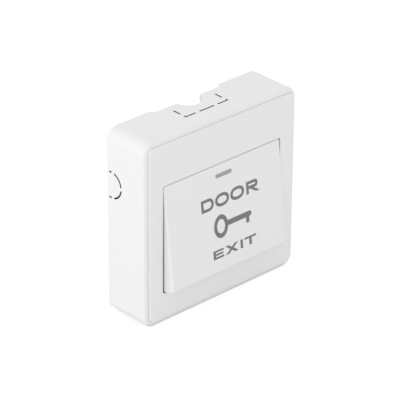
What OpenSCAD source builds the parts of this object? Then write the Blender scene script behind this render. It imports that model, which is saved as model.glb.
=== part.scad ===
// Door exit button: a surface wall box, a nested face plate and a large press plate hinged at its top.
// Every module is drawn lying on its back, x to the right, y up the wall and z out of the wall.
// upright() then stands it on the wall: the wall is the plane y = 0 and the front looks along -y.

/* [Wall box] */
// Width of the wall box
box_w = 86; // [84:1:110]
// Height of the wall box
box_h = 86; // [84:1:110]
// Depth of the wall box, from the wall to its front rim
box_d = 22.7; // [21.5:0.1:34]
// Thickness of the side walls of the box
box_wall = 2.2; // [1.6:0.1:2.8]
// Thickness of the floor of the box
box_floor = 2; // [1.4:0.1:2.6]
// Radius of the four outer corners of the box
box_corner = 5.2; // [4:0.2:8]
// Rounding of the front edge of the box
box_edge = 1.2; // [0.4:0.1:1.8]
// Thickness of the pads on the walls that carry the face plate
pad_t = 1.2; // [0.8:0.1:1.8]
// Width of each of those pads
pad_w = 8; // [4:0.5:12]
// Distance of those pads from the middle of their wall
pad_out = 27; // [22:0.5:30]

/* [Cable entries] */
// Length of the relief along the top of the rear edge
relief_w = 39; // [32:0.5:44]
// Depth of that relief, from the wall
relief_d = 2; // [1:0.1:3]
// Rounding of the two ends of the relief
relief_round = 1.4; // [0.5:0.1:2]
// Radius of the half-round cable notch in the relief
notch_r = 6; // [4:0.1:7]
// Rounding of the two lips of the notch
notch_lip = 1.5; // [0.6:0.1:2.5]
// Width of the break-out tab round the notch
tab_w = 24.4; // [20:0.2:28]
// Depth of the break-out tab, from the wall
tab_d = 14; // [12.5:0.1:17]
// Width of the slits that mark the break-outs
slit_w = 0.8; // [0.4:0.05:1]
// Length of each corner slit of the tab along its front
tab_corner_slit = 6; // [3:0.1:7]
// Length of each corner slit of the tab along its side
tab_turn = 1.5; // [1:0.1:2.5]
// Length of the middle slit of the tab
tab_middle_slit = 8.2; // [5:0.1:10]
// Length of each side slit of the tab
tab_side_slit = 4.4; // [2:0.1:5]
// Bridge of material between the corner slit and the side slit
tab_bridge = 2.2; // [1.2:0.1:3]
// Radius of the round knock-out in the left wall
knock_r = 5.9; // [4:0.1:7]
// Height of the knock-out above the middle of the box
knock_up = 17.9; // [10:0.1:22]
// Depth of the knock-out's centre, from the wall
knock_in = 2.5; // [1:0.1:4]
// Width of the bar between the top entry's cut-out in the floor and the wall screw slot
entry_bar = 1.8; // [1:0.1:3]
// How far the floor is cut back behind the knock-out
knock_reach = 5; // [3:0.5:6]
// Width of the cable window in the floor
window_w = 34; // [20:1:40]
// Height of the cable window in the floor
window_h = 21; // [12:1:22]
// Height of the middle of the cable window above the middle of the box
window_up = 12.5; // [12:0.5:14]
// Corner radius of the cable window
window_corner = 4; // [1:0.5:6]

/* [Wall fixing] */
// Distance between the two wall screw slots
slot_pitch = 60; // [58:0.1:62]
// Width of a wall screw slot
slot_w = 4.4; // [3.6:0.1:5]
// Length of a wall screw slot
slot_len = 8; // [6:0.5:9]

/* [Face plate] */
// How far the face plate stands proud of the rim of the box
plate_proud = 0.9; // [0.4:0.1:1.6]
// Thickness of the face plate
plate_t = 1.9; // [1.5:0.1:2.2]
// Gap between the face plate and the rim of the box
plate_gap = 0.08; // [0.05:0.01:0.3]
// Radius of the corners of the face plate
plate_corner = 2.4; // [1:0.1:4]
// Rounding of the front edge of the face plate
plate_edge = 0.4; // [0.2:0.1:0.8]
// Depth of the stiffening flange behind the face plate
flange_d = 3; // [1:0.5:4]
// Thickness of that flange
flange_t = 1.2; // [0.8:0.1:1.4]
// Width of the opening for the press plate
open_w = 67; // [66:0.1:69.6]
// Height of the opening for the press plate
open_h = 50.6; // [46:0.1:52]
// How far the middle of the opening lies below the middle of the box
open_down = 3.45; // [2.5:0.05:4]
// Corner radius of the opening
open_corner = 1; // [0.6:0.1:2]
// Thickness of the snap hooks behind the face plate
hook_t = 1.5; // [1.2:0.1:2]
// Width of each snap hook
hook_w = 8; // [5:0.5:12]
// Distance of the snap hooks from the vertical centre line
hook_out = 27; // [25:0.5:29]
// How far the barb of a hook reaches under the frame
hook_barb = 0.9; // [0.5:0.1:1.2]

/* [Press plate] */
// Gap beside the press plate, at each side of its opening
press_side_gap = 0.5; // [0.4:0.05:1.2]
// Gap above the press plate
press_top_gap = 0.35; // [0.25:0.05:1]
// Height of the lower front edge of the press plate above the lower edge of the opening
press_foot_gap = 2.4; // [2:0.1:3.5]
// Gap between the foot of the press plate and the lower edge of its opening
press_foot_play = 0.4; // [0.3:0.05:1]
// Lean of the press plate at rest, in degrees
rest_tilt = 6.8; // [6:0.1:8]
// Angle that the press plate turns through when pressed home, in degrees
press_angle = 4.5; // [3:0.1:5]
// Depth of the skirts of the press plate, behind its front
skirt_d = 9.6; // [9:0.1:11]
// Thickness of the front of the press plate
press_t = 1.8; // [1.4:0.1:2.2]
// Thickness of the skirts of the press plate
skirt_t = 1.6; // [1.2:0.1:2]
// Rounding of the front edges of the press plate
press_edge = 0.9; // [0.4:0.1:1.4]
// Distance of the hinge axis below the top edge of the press plate
hinge_down = 4.2; // [3.5:0.1:6]
// Depth of the hinge axis behind the front of the face plate
hinge_in = 4.75; // [4.6:0.05:6]
// Radius of the hinge pins
pin_r = 1.45; // [1.2:0.05:1.7]
// Radial clearance of the hinge pins in their bearings
pin_play = 0.05; // [0.02:0.01:0.08]
// Width of each stop lip at the foot of the press plate
lip_w = 10; // [6:0.5:14]
// Distance of the stop lips from the vertical centre line
lip_out = 17; // [12:0.5:20]
// Thickness of a stop lip
lip_t = 1.5; // [1:0.1:1.7]
// How far a stop lip reaches behind the face plate
lip_reach = 1.2; // [0.8:0.1:1.6]
// Gap between a stop and what it stops
stop_gap = 0.15; // [0.1:0.05:0.3]

/* [Indicator] */
// Length of the indicator lens
lens_w = 9.2; // [6:0.1:12]
// Height of the indicator lens
lens_h = 1.7; // [1.4:0.1:3]
// Distance of the lens below the top edge of the press plate
lens_down = 5; // [4.8:0.1:8]
// Depth of the lens behind the front of the press plate
lens_d = 4; // [3:0.1:5]
// Gap between the lens and its window
lens_play = 0.06; // [0.03:0.01:0.1]
// Radius of the lamp
lamp_r = 1.5; // [1.2:0.1:2]

/* [Mounting frame] */
// Depth of the frame's web behind the front of the face plate
frame_in = 12.1; // [11.6:0.1:12.6]
// Thickness of the frame's web
web_t = 2; // [1.6:0.1:2.4]
// Gap between the frame and the pads of the box
frame_gap = 1.1; // [0.6:0.1:1.6]
// Room above and below the frame for the snap hooks
hook_room = 5.8; // [5:0.1:6.5]
// Height of the rim round the frame
frame_rim_h = 3; // [1:0.5:4]
// Thickness of that rim
frame_rim_t = 1.4; // [1:0.1:2]
// Thickness of the cheeks that carry the hinge pins
cheek_t = 2; // [1.6:0.1:2.4]
// Gap between a cheek and the skirt of the press plate
cheek_gap = 0.8; // [0.4:0.1:1]
// Distance between the two frame screws
screw_pitch = 60.3; // [58:0.1:62]
// Radius of the frame screws
screw_r = 1.75; // [1.4:0.05:2]
// Length of the frame screws under the head
screw_len = 8; // [6:0.5:8]
// Outer radius of the threaded inserts
insert_r = 2.8; // [2.5:0.1:3]
// Length of the threaded inserts
insert_len = 6; // [4:0.5:6.5]
// Radius of the posts that carry the frame
post_r = 4.2; // [3.8:0.1:5]

/* [Springs] */
// Outer radius of the return springs
spring_r = 3.5; // [3:0.1:4]
// Wire radius of the return springs
wire_r = 0.3; // [0.25:0.05:0.4]
// Number of turns of a return spring
spring_turns = 5.5; // [4:0.5:7]
// Distance of the springs from the vertical centre line
spring_out = 24; // [22.5:0.5:25]
// Distance of the springs below the hinge axis
spring_down = 37; // [34:0.5:38]

/* [Circuit board] */
// Width of the circuit board
board_w = 44; // [42:1:48]
// Height of the circuit board
board_h = 47; // [46:1:48]
// Height of the middle of the board above the middle of the box
board_up = -4; // [-4.5:0.1:-3.5]
// Thickness of the circuit board
board_t = 1.6; // [1.2:0.1:1.6]
// Height of the stand-offs between the frame and the board
board_stand = 2.5; // [2.2:0.1:2.6]
// Distance from the board's edge to its screw holes
board_inset = 3.6; // [3:0.1:4]
// Length of the solder tails behind the board
tail = 1.4; // [1:0.1:1.6]

/* [Switch] */
// Distance of the switch plunger below the hinge axis
switch_down = 19; // [17:0.1:20]
// Length of the switch
switch_w = 19.8; // [18:0.1:21]
// Thickness of the switch
switch_t = 6.4; // [5.8:0.1:7]
// Height of the base of the switch
switch_base_h = 2.4; // [2:0.1:2.8]
// Height of the cover of the switch
switch_cover_h = 7.2; // [7:0.1:7.4]
// Offset of the plunger from the middle of the switch
plunger_off = 2.6; // [1:0.1:3]
// Radius of the plunger
plunger_r = 1.2; // [1:0.05:1.4]
// Gap between the plunger and the rib that presses it
rib_gap = 0.2; // [0.1:0.05:0.4]

/* [Terminal block] */
// Distance of the terminal block below the hinge axis
block_down = 37.9; // [36:0.1:38]
// Distance between neighbouring terminals
block_pitch = 5.08; // [5:0.01:5.2]
// Depth of the terminal block, from its wire entries to its back
block_t = 7.6; // [7:0.1:8]
// Height of the terminal block above the board
block_h = 10.2; // [9.6:0.1:10.8]

/* [Hidden] */
$fn = 48;
over = 1;
// Overlap of two arcs that blend into each other
bite = 0.01;

inner_w = box_w - 2 * box_wall;
inner_h = box_h - 2 * box_wall;
plate_front = box_d + plate_proud;
plate_back = plate_front - plate_t;
plate_w = inner_w - 2 * plate_gap;
plate_h = inner_h - 2 * plate_gap;
cavity_corner = plate_corner + plate_gap;
pad_gap = 0.3;
floor_cut_corner = 2;
knock_rim = 1.2;

open_top = open_h / 2 - open_down;
open_foot = -open_h / 2 - open_down;

press_w = open_w - 2 * press_side_gap;
press_top = open_top - press_top_gap;
press_len = (open_h - press_top_gap - press_foot_gap) / cos(rest_tilt);
hinge_y = press_top - hinge_down;
hinge_z = plate_front - hinge_in;
home_tilt = rest_tilt - press_angle;
press_corner = 1.2;
// The hinge axis as seen from the top edge of the leaning press plate, along its front and its normal
axis_s = -hinge_down * cos(rest_tilt) + hinge_in * sin(rest_tilt);
axis_n = -hinge_down * sin(rest_tilt) - hinge_in * cos(rest_tilt);
// Where the foot passes the front of the face plate, as seen from the same edge
foot_drop = open_h - press_top_gap - press_foot_play;
foot_at = [-foot_drop * cos(rest_tilt), -foot_drop * sin(rest_tilt)];
// In front of the face plate the foot slopes, and behind it the foot is an arc about the hinge axis
foot_slope = atan2(-press_len - foot_at[0], -foot_at[1]);
foot_r = norm([foot_at[0] - axis_s, foot_at[1] - axis_n]);
pin_end_gap = 0.2;
pin_len = cheek_gap + cheek_t - pin_end_gap;
rib_t = 1.2;
rib_d = 2.4;
rib_end_gap = 2;

frame_front = plate_front - frame_in;
frame_back = frame_front - web_t;
frame_w = inner_w - 2 * (pad_t + frame_gap);
frame_h = inner_h - 2 * hook_room;
frame_corner = 3;
stop_l = 5;
hook_play = 0.4;
hook_lock = 0.2;
barb_h = 1.3;
cheek_x = press_w / 2 + cheek_gap;
cheek_h = 8;
cheek_top_gap = 0.3;
screw_play = 0.35;
head_r = 3.2;
head_h = 2.1;
fit_play = 0.03;
insert_floor = 0.5;

spring_y = hinge_y - spring_down;
spring_perch_h = 1;
spring_len = 9.4;
spring_seat = frame_front + spring_perch_h;
spring_top = spring_seat + spring_len;
spring_end_gap = 0.1;
spigot_play = 0.3;
spigot_h = 2.3;
spigot_r = spring_r - 2 * wire_r - spigot_play;
stop_down = 3;
stop_y = spring_y - stop_down;
spring_boss_t = 0.8;
spring_boss_r = spring_r + spring_boss_t;

board_front = frame_back - board_stand;
board_back = board_front - board_t;
tail_end = board_back - tail;
board_corner = 1.5;
board_screw_r = 1.1;
board_head_r = 1.9;
board_head_h = 1.3;
board_screw_end = 0.4;
board_screw_len = board_t + board_stand + web_t - board_screw_end;
hole_play = 0.2;
screw_x = board_w / 2 - board_inset;
screw_y = board_h / 2 - board_inset;

switch_y = hinge_y - switch_down;
switch_x = plunger_off;
switch_split = board_front + switch_base_h;
switch_top = switch_split + switch_cover_h;
plunger_tip = hinge_z - rib_gap;
plunger_foot_h = 3.95;
plunger_foot = switch_split + plunger_foot_h;
blade_t = 0.25;
blade_z = plunger_foot - blade_t;
contact_r = 1;
contact_h = 0.4;
contact_in = 2.9;
contact_x = switch_w / 2 - contact_in;
switch_wall = 0.8;
switch_roof = 1;
terminal_t = 0.5;
terminal_w = 2.4;
terminal_in = 1.5;
cut_gap = 0.5;
switch_corner = 0.5;
upstand = 0.8;
upstand_in = switch_wall + fit_play;
upstand_top = switch_split + upstand;
plug_play = 0.05;
contact_gap = 1.6;
point_r = 0.8 * contact_r;

block_y = hinge_y - block_down;
block_ways = 3;
block_w = block_ways * block_pitch;
block_top = board_front + block_h;
clamp_w = 3.6;
clamp_l = 4.8;
clamp_h = 5;
clamp_t = 0.7;
clamp_screw_r = 1.1;
clamp_head_r = 1.75;
clamp_head_h = 1.4;
clamp_play = 0.1;
clamp_travel = 1.2;
block_wall = 0.9;
block_floor = 1.2;
chamber_floor = board_front + block_floor;
chamber_y = block_wall + clamp_l / 2 - block_t / 2;
clamp_head_in = 0.2;
clamp_head_z = block_top - clamp_head_h - clamp_head_in;
solder_r = 0.5;

lens_flange = 1;
lamp_y = press_top - lens_down * cos(rest_tilt);
lamp_flange_out = 0.4;
lamp_flange_h = 0.8;
lamp_flange_r = lamp_r + lamp_flange_out;
lamp_perch_h = 0.8;
lamp_perch_out = 1;
lamp_seat = frame_front + lamp_perch_h;
lamp_h = 3.2;
lamp_pitch = 2.54;
leg_r = 0.25;
chip_down = 6;
chip_y = lamp_y - chip_down;
chip_out = 12;

// Stands what is drawn lying on its back upright against the wall
module upright() {
    rotate([90, 0, 0]) children();
}

// Copies what is drawn at the right to the left as well
module both_sides() {
    children();
    mirror([1, 0, 0]) children();
}

// Copies what is drawn at the top right to all four corners
module four_corners() {
    both_sides() {
        children();
        mirror([0, 1, 0]) children();
    }
}

// Repeats what is drawn at the two corners of the board that have a screw
module each_board_screw() {
    for (side = [-1, 1]) translate([side * screw_x, side * screw_y, 0]) children();
}

// Rectangle with round corners
module rounded_rect(w, h, r) {
    square([w - 2 * r, h], center = true);
    square([w, h - 2 * r], center = true);
    for (x = [-1, 1], y = [-1, 1]) translate([x * (w / 2 - r), y * (h / 2 - r)]) circle(r);
}

// Bar with half-round ends, a pill
module pill(w, h) {
    square([w - h, h], center = true);
    for (side = [-1, 1]) translate([side * (w - h) / 2, 0]) circle(h / 2);
}

// Slab with round corners
module rounded_slab(w, h, d, r) {
    linear_extrude(d) rounded_rect(w, h, r);
}

// Half section of a slab whose front edge is rounded
module edge_section(reach, d, edge) {
    square([reach, d - edge]);
    square([reach - edge, d]);
    translate([reach - edge, d - edge]) circle(edge);
}

// Slab with round corners and a rounded front edge
module soft_slab(w, h, d, r, edge) {
    translate([0, 0, d / 2]) cube([w - 2 * r, h - 2 * r, d], center = true);
    for (x = [-1, 1], y = [-1, 1]) translate([x * (w / 2 - r), y * (h / 2 - r), 0])
        rotate_extrude() intersection() {
            edge_section(r, d, edge);
            square([r, d]);
        }
    for (turn = [0, 180]) rotate(turn) translate([-(w / 2 - r), h / 2 - r, 0])
        rotate([90, 0, 90]) linear_extrude(w - 2 * r) edge_section(r, d, edge);
    for (turn = [90, 270]) rotate(turn) translate([-(h / 2 - r), w / 2 - r, 0])
        rotate([90, 0, 90]) linear_extrude(h - 2 * r) edge_section(r, d, edge);
}

// Carries an outline, drawn as x along the wall and y out of it, through the top wall of the box
module through_top_wall() {
    translate([0, box_h / 2 + over, 0]) rotate([90, 0, 0]) linear_extrude(box_wall + 2 * over) children();
}

// Carries an outline, drawn as x out of the wall and y up it, through the left wall of the box
module through_left_wall() {
    translate([over - inner_w / 2, 0, 0]) rotate([0, -90, 0]) linear_extrude(box_wall + 2 * over) children();
}

// Relief along the top of the rear edge, with the half-round cable notch and its rounded lips
module relief_outline() {
    lip_x = sqrt(pow(notch_r + notch_lip, 2) - pow(notch_lip, 2));
    translate([-relief_w / 2, -over]) square([relief_w, relief_d - relief_round + over]);
    translate([relief_round - relief_w / 2, -over]) square([relief_w - 2 * relief_round, relief_d + over]);
    for (side = [-1, 1]) {
        translate([side * (relief_w / 2 - relief_round), relief_d - relief_round]) circle(relief_round);
        difference() {
            polygon([[0, relief_d], [side * lip_x, relief_d], [side * lip_x, relief_d + notch_lip]]);
            translate([side * lip_x, relief_d + notch_lip]) circle(notch_lip + bite);
        }
    }
    translate([0, relief_d]) circle(notch_r);
}

// Slits round the break-out tab in the top wall
module tab_slits() {
    side_x = tab_w / 2 - slit_w;
    for (side = [0, 1]) mirror([side, 0]) {
        translate([tab_w / 2 - tab_corner_slit, tab_d - slit_w]) square([tab_corner_slit, slit_w]);
        translate([side_x, tab_d - tab_turn]) square([slit_w, tab_turn]);
        translate([side_x, tab_d - tab_turn - tab_bridge - tab_side_slit]) square([slit_w, tab_side_slit]);
    }
    translate([-tab_middle_slit / 2, tab_d - slit_w]) square([tab_middle_slit, slit_w]);
}

// One curved slit of the round knock-out, between two angles from straight out of the wall
module knock_slit(from, to) {
    function far_point(angle) = 2 * knock_r * [cos(angle), sin(angle)];
    intersection() {
        difference() {
            circle(knock_r + slit_w / 2);
            circle(knock_r - slit_w / 2);
        }
        polygon([[0, 0], far_point(from), far_point((from + to) / 2), far_point(to)]);
    }
}

// Slits round the knock-out in the left wall
module knock_slits() {
    translate([knock_in, knock_up]) for (side = [0, 1]) mirror([0, side]) {
        knock_slit(7, 75);
        knock_slit(90, 104);
    }
}

// Cut-outs of the floor: the cable window, the two wall screw slots and the room behind the break-outs
module floor_cuts() {
    knock_room = 2 * (knock_r + knock_rim);
    entry_foot = (slot_pitch + slot_len) / 2 + entry_bar;
    translate([0, 0, -over]) linear_extrude(box_floor + 2 * over) {
        translate([0, window_up]) rounded_rect(window_w, window_h, window_corner);
        for (end = [-1, 1]) translate([0, end * slot_pitch / 2]) rotate(90) pill(slot_len, slot_w);
        intersection() {
            rounded_rect(inner_w, inner_h, cavity_corner);
            union() {
                translate([0, inner_h / 2]) rounded_rect(relief_w, inner_h - 2 * entry_foot, floor_cut_corner);
                translate([-inner_w / 2, knock_up]) rounded_rect(2 * knock_reach, knock_room, floor_cut_corner);
            }
        }
    }
}

// Pads on the side walls that carry the edge of the face plate
module wall_pads() {
    both_sides() for (end = [-1, 1]) translate([inner_w / 2 - pad_t, end * pad_out - pad_w / 2, 0])
        cube([pad_t + over, pad_w, plate_back]);
    both_sides() for (end = [-1, 1]) translate([pad_out - pad_w / 2, end * inner_h / 2 - pad_t, 0])
        cube([pad_w, 2 * pad_t, plate_back]);
}

// Posts that carry the mounting frame, each with a web to the side wall
module frame_posts() {
    both_sides() {
        translate([screw_pitch / 2, 0, 0]) cylinder(r = post_r, h = frame_back);
        translate([screw_pitch / 2, -rib_t / 2, 0])
            cube([inner_w / 2 - screw_pitch / 2 + over / 2, rib_t, frame_back]);
    }
}

module back_box() {
    color("white") upright() difference() {
        union() {
            difference() {
                soft_slab(box_w, box_h, box_d, box_corner, box_edge);
                translate([0, 0, box_floor]) rounded_slab(inner_w, inner_h, box_d, cavity_corner);
                floor_cuts();
            }
            intersection() {
                translate([0, 0, box_floor / 2])
                    rounded_slab(inner_w + over, inner_h + over, box_d, cavity_corner);
                union() {
                    wall_pads();
                    frame_posts();
                }
            }
        }
        through_top_wall() relief_outline();
        through_top_wall() tab_slits();
        through_left_wall() knock_slits();
        both_sides() translate([screw_pitch / 2, 0, frame_back - insert_len - insert_floor])
            cylinder(r = insert_r + fit_play, h = insert_len + insert_floor + over);
    }
}

module thread_inserts() {
    groove = 0.3;
    band_h = 0.4 * insert_len;
    foot = frame_back - insert_len;
    color("gold") upright() both_sides() translate([screw_pitch / 2, 0, foot]) difference() {
        union() {
            cylinder(r = insert_r, h = band_h);
            cylinder(r = insert_r - groove, h = insert_len);
            translate([0, 0, insert_len - band_h]) cylinder(r = insert_r, h = band_h);
        }
        translate([0, 0, -over]) cylinder(r = screw_r + fit_play, h = insert_len + 2 * over);
    }
}

// Snap bearing for one hinge pin: a cheek with a round seat and a narrower mouth towards the front
module hinge_cheek() {
    top = plate_back - cheek_top_gap;
    mouth = 1.7 * pin_r;
    translate([cheek_x, hinge_y, 0]) difference() {
        union() {
            translate([0, -cheek_h / 2, frame_back]) cube([cheek_t, cheek_h, top - frame_back]);
            translate([cheek_t - over / 2, -rib_t / 2, frame_back])
                cube([frame_w / 2 - cheek_x - cheek_t + over / 2, rib_t, (top - frame_back) / 2]);
        }
        translate([-over, 0, hinge_z]) rotate([0, 90, 0])
            cylinder(r = pin_r + pin_play, h = cheek_t + 2 * over);
        translate([-over, -mouth / 2, hinge_z]) cube([cheek_t + 2 * over, mouth, top]);
    }
}

// Back edge of the press plate's skirt at a height y, when the plate leans by an angle
function skirt_back_at(y, tilt) = hinge_z - (skirt_d + axis_n) / cos(tilt) + (hinge_y - y) * tan(tilt);

// Web of the mounting frame with the rim round it
module frame_tray() {
    rounded_slab(frame_w, frame_h, web_t, frame_corner);
    difference() {
        rounded_slab(frame_w, frame_h, web_t + frame_rim_h, frame_corner);
        translate([0, 0, -over])
            rounded_slab(frame_w - 2 * frame_rim_t, frame_h - 2 * frame_rim_t,
                box_d, frame_corner - frame_rim_t);
    }
}

// Seat with a spigot for the foot of one return spring
module spring_perch() {
    cylinder(r = spring_boss_r, h = spring_seat - frame_back);
    cylinder(r = spigot_r, h = spring_seat - frame_back + spigot_h);
}

// Stop that meets the skirt of the press plate when it is pressed home
module home_stop() {
    stop_top = skirt_back_at(stop_y + stop_l / 2, home_tilt) - stop_gap;
    translate([press_w / 2 - skirt_t, stop_y - stop_l / 2, 0]) cube([skirt_t, stop_l, stop_top - frame_back]);
}

module mounting_frame() {
    window_round = 0.8;
    color("dimgray") upright() difference() {
        union() {
            translate([0, 0, frame_back]) {
                frame_tray();
                both_sides() {
                    translate([spring_out, spring_y, 0]) spring_perch();
                    home_stop();
                }
                translate([0, lamp_y, 0])
                    cylinder(r = lamp_flange_r + lamp_perch_out, h = lamp_seat - frame_back);
            }
            both_sides() hinge_cheek();
            translate([0, board_up, board_front]) four_corners() translate([screw_x, screw_y, 0])
                cylinder(r = 2 * board_screw_r, h = board_stand + web_t / 2);
        }
        both_sides() translate([screw_pitch / 2, 0, frame_back - over])
            cylinder(r = screw_r + screw_play, h = web_t + 2 * over);
        translate([0, 0, frame_back - over]) linear_extrude(web_t + 2 * over) {
            translate([switch_x, switch_y])
                rounded_rect(switch_w + 2 * cut_gap, switch_t + 2 * cut_gap, window_round);
            translate([0, block_y]) rounded_rect(block_w + 2 * cut_gap, block_t + 2 * cut_gap, window_round);
        }
        translate([0, lamp_y, frame_back - over])
            cylinder(r = lamp_r + hole_play, h = lamp_seat - frame_back + 2 * over);
        translate([0, board_up, board_front - over]) each_board_screw()
            cylinder(r = board_screw_r + fit_play, h = board_stand + web_t - 0.75 * board_screw_end + over);
    }
}

// Cheese-head screw, its head on z = 0 and its shank below
module slotted_screw(shank_r, shank_len, top_r, top_h) {
    difference() {
        union() {
            cylinder(r = top_r, h = top_h);
            translate([0, 0, -shank_len]) cylinder(r = shank_r, h = shank_len + top_h / 2);
        }
        translate([0, 0, top_h]) cube([2 * top_r + over, top_r / 4, top_h], center = true);
    }
}

module frame_screws() {
    color("silver") upright() both_sides() translate([screw_pitch / 2, 0, frame_front])
        slotted_screw(screw_r, screw_len, head_r, head_h);
}

// Snap hook behind the face plate, at the top right
module plate_hook() {
    foot = frame_back - hook_lock - barb_h;
    inside = frame_h / 2 + hook_play;
    translate([hook_out - hook_w / 2, inside, foot]) cube([hook_w, hook_t, plate_back - foot + plate_t / 2]);
    translate([hook_out - hook_w / 2, 0, 0]) rotate([90, 0, 90]) linear_extrude(hook_w)
        polygon([[inside - hook_play - hook_barb, foot + barb_h], [inside + hook_t / 2, foot + barb_h],
            [inside + hook_t / 2, foot], [inside, foot]]);
}

module face_plate() {
    flange_w = inner_w - 2 * (pad_t + pad_gap);
    flange_h = inner_h - 2 * (pad_t + pad_gap);
    rib_pitch = 16;
    rib_foot = open_top + rib_end_gap;
    color("white") upright() difference() {
        union() {
            translate([0, 0, plate_back]) soft_slab(plate_w, plate_h, plate_t, plate_corner, plate_edge);
            translate([0, 0, plate_back - flange_d]) difference() {
                rounded_slab(flange_w, flange_h, flange_d + plate_t / 2, plate_corner);
                translate([0, 0, -over]) rounded_slab(flange_w - 2 * flange_t, flange_h - 2 * flange_t,
                    box_d, plate_corner - flange_t / 2);
            }
            for (k = [-1.5:1:1.5]) translate([k * rib_pitch - rib_t / 2, rib_foot, plate_back - rib_d])
                cube([rib_t, flange_h / 2 - rib_foot - flange_t / 2, rib_d + plate_t / 2]);
            four_corners() plate_hook();
        }
        translate([0, -open_down, plate_back - over])
            rounded_slab(open_w, open_h, plate_t + 2 * over, open_corner);
    }
}

// Places what is drawn on the front of the press plate: x across, y up the front and z along its normal
module on_press_plate() {
    translate([0, press_top, plate_front]) rotate([-rest_tilt, 0, 0]) children();
}

// Side outline of the press plate, x up the front from its top edge and y along its normal
module side_outline(inset_front, inset_edge) {
    low = 3 * foot_at + [2 * press_len, 0];
    high = -foot_at - [2 * press_len, 0];
    intersection() {
        translate([axis_s, axis_n]) circle(foot_r - inset_edge, $fn = 360);
        translate([-2 * press_len, -skirt_d - inset_front]) square([2 * press_len - inset_edge, skirt_d]);
        translate([inset_edge / cos(foot_slope), 0])
            polygon([low, [over, low[1]], [over, high[1]], high]);
    }
}

// Side outline of the press plate with its two front edges rounded
module rounded_side_outline() {
    s = press_edge * (1 - sin(foot_slope)) / cos(foot_slope) - press_len;
    n = -press_edge;
    tangent = [s - press_edge * cos(foot_slope), n + press_edge * sin(foot_slope)];
    difference() {
        side_outline(0, 0);
        polygon([[s, n], [s, over], [-press_len - over, over], tangent]);
        translate([-press_edge, -press_edge]) square(2 * press_edge);
    }
    translate([s, n]) circle(press_edge);
    translate([-press_edge, -press_edge]) circle(press_edge);
}

// Outline of the press plate seen from its foot, x across and y along its normal
module foot_outline() {
    deep = 2 * skirt_d;
    for (side = [0, 1]) mirror([side, 0]) {
        translate([0, -deep]) square([press_w / 2, deep - press_edge]);
        translate([0, -deep]) square([press_w / 2 - press_edge, deep]);
        translate([press_w / 2 - press_edge, -press_edge]) circle(press_edge);
    }
}

// Outline of the press plate seen from the front
module front_outline() {
    reach = foot_r - axis_s;
    translate([0, -reach / 2]) rounded_rect(press_w, reach, press_corner);
}

// Solid outer form of the press plate, what its three outlines share
module press_form() {
    intersection() {
        translate([-press_w / 2, 0, 0]) rotate([90, 0, 90]) linear_extrude(press_w) rounded_side_outline();
        rotate([90, 0, 0]) linear_extrude(2 * press_len) foot_outline();
        translate([0, 0, -2 * skirt_d]) linear_extrude(3 * skirt_d) front_outline();
    }
}

// Front and skirts of the press plate
module press_shell() {
    difference() {
        press_form();
        translate([skirt_t - press_w / 2, 0, 0]) rotate([90, 0, 90]) linear_extrude(press_w - 2 * skirt_t)
            side_outline(press_t, skirt_t);
    }
}

// Ribs behind the front of the press plate
module press_ribs() {
    foot_gap = 3;
    translate([0, 0, -press_t - rib_d]) {
        for (k = [-2, -1, 1, 2]) translate([k * press_w / 6 - rib_t / 2, foot_gap - press_len, 0])
            cube([rib_t, press_len - foot_gap - rib_end_gap, rib_d + press_t / 2]);
        for (share = [0.3, 0.7]) translate([(skirt_t - press_w) / 2, -share * press_len - rib_t / 2, 0])
            cube([press_w - skirt_t, rib_t, rib_d + press_t / 2]);
    }
}

// Front of the leaning press plate at a height y
function press_front_at(y) = plate_front + (press_top - y) * tan(rest_tilt);

// Seat with a spigot for the head of one return spring
module spring_boss() {
    translate([spring_out, spring_y, spring_top]) {
        cylinder(r = spring_boss_r, h = press_front_at(spring_y) - 0.45 * press_t - spring_top);
        translate([0, 0, -spigot_h]) cylinder(r = spigot_r, h = 2 * spigot_h);
    }
}

// Lip at the foot of the press plate that rests behind the face plate
module stop_lip() {
    root_y = hinge_y - foot_r + skirt_t;
    tip_y = open_foot - lip_reach;
    back = -lip_t;
    translate([lip_out - lip_w / 2, 0, plate_back - stop_gap]) rotate([90, 0, 90]) linear_extrude(lip_w)
        polygon([[root_y, back], [tip_y + lip_t / 2, back], [tip_y, back / 2], [tip_y, 0], [root_y, 0]]);
}

// Rib with a rounded edge that presses the plunger of the switch
module plunger_rib() {
    rib_r = 1.2;
    rib_w = 5;
    translate([-rib_w / 2, switch_y, hinge_z + rib_r]) {
        translate([0, -rib_r, 0])
            cube([rib_w, 2 * rib_r, press_front_at(switch_y) - hinge_z - rib_r - press_t / 2]);
        rotate([0, 90, 0]) cylinder(r = rib_r, h = rib_w);
    }
}

module press_plate() {
    color("whitesmoke") upright() {
        on_press_plate() difference() {
            union() {
                press_shell();
                press_ribs();
            }
            translate([0, -lens_down, -press_t - over]) linear_extrude(press_t + 2 * over)
                pill(lens_w + 2 * lens_play, lens_h + 2 * lens_play);
        }
        both_sides() {
            translate([press_w / 2 - skirt_t / 2, hinge_y, hinge_z]) rotate([0, 90, 0])
                cylinder(r = pin_r, h = skirt_t / 2 + pin_len);
            spring_boss();
            stop_lip();
        }
        plunger_rib();
    }
}

module indicator_lens() {
    color("silver") upright() on_press_plate() translate([0, -lens_down, 0]) {
        translate([0, 0, -lens_d]) linear_extrude(lens_d) pill(lens_w, lens_h);
        translate([0, 0, -press_t - lens_flange]) linear_extrude(lens_flange)
            pill(lens_w + 2 * lens_flange, lens_h + 2 * lens_flange);
    }
}

// Repeats what is drawn for the middle terminal at each way of the block
module each_way() {
    for (way = [0:block_ways - 1])
        translate([(way - (block_ways - 1) / 2) * block_pitch, block_y, 0]) children();
}

// Points of one ring of spring wire, round the coil at an angle and a height
function wire_ring(radius, wire, turn, z, sides) = [
    for (i = [0:sides - 1]) let (a = 360 * i / sides)
        [(radius + wire * cos(a)) * cos(turn), (radius + wire * cos(a)) * sin(turn), z + wire * sin(a)]
];

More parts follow.
